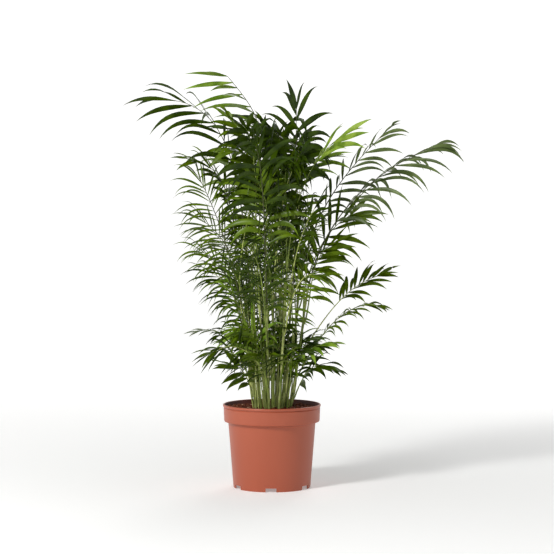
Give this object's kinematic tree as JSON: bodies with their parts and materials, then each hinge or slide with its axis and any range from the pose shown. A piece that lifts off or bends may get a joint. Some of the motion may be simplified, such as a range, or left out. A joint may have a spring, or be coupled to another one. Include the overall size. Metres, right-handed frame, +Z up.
{
  "type": "potted parlour palm",
  "caption": "Clump of slender green stems with arching feather-shaped fronds, growing in a round tapered nursery pot with a deep collar and feet under its rim wall.",
  "frame": {"origin": "on the axis of the pot, in the plane its feet stand in", "axes": "+Z up along the pot's axis, -Y towards the front, +X to the right"},
  "size_m": [0.8262, 0.5909, 1.0048],
  "materials": {
    "pot": "satin moulded plastic",
    "soil": "moist potting compost",
    "stem": "smooth green cane with leaf scars",
    "leaf": "soft satin leaf",
    "fresh_leaf": "soft satin young leaf"
  },
  "bodies": {
    "root": {"frond_front_high": "leaf", "frond_left_1": "leaf", "frond_left_2": "leaf", "frond_left_3": "leaf", "frond_left_4": "leaf", "frond_left_5": "leaf", "frond_left_6": "leaf", "frond_left_7": "leaf", "frond_left_8": "leaf", "frond_left_9": "leaf", "frond_left_high": "leaf", "frond_left_low": "leaf", "frond_low_1": "leaf", "frond_low_2": "leaf", "frond_low_3": "leaf", "frond_low_4": "leaf", "frond_low_5": "leaf", "frond_mid_1": "leaf", "frond_mid_2": "leaf", "frond_mid_3": "leaf", "frond_mid_4": "leaf", "frond_mid_5": "leaf", "frond_mid_6": "leaf", "frond_right_1": "leaf", "frond_right_2": "leaf", "frond_right_3": "leaf", "frond_right_4": "leaf", "frond_right_5": "leaf", "frond_right_broad": "leaf", "frond_right_curl": "leaf", "frond_right_far": "leaf", "frond_right_fresh": "fresh_leaf", "frond_right_high": "leaf", "frond_right_low": "leaf", "frond_top_1": "leaf", "frond_top_2": "leaf", "frond_top_3": "leaf", "frond_top_4": "leaf", "frond_top_5": "leaf", "frond_top_6": "leaf", "frond_top_arch": "leaf", "frond_top_centre": "leaf", "pot": "pot", "soil": "soil", "stem_01": "stem", "stem_02": "stem", "stem_03": "stem", "stem_04": "stem", "stem_05": "stem", "stem_06": "stem", "stem_07": "stem", "stem_08": "stem", "stem_09": "stem", "stem_10": "stem", "stem_11": "stem", "stem_12": "stem", "stem_13": "stem", "stem_14": "stem", "stem_15": "stem", "stem_16": "stem"}
  },
  "joints": []
}
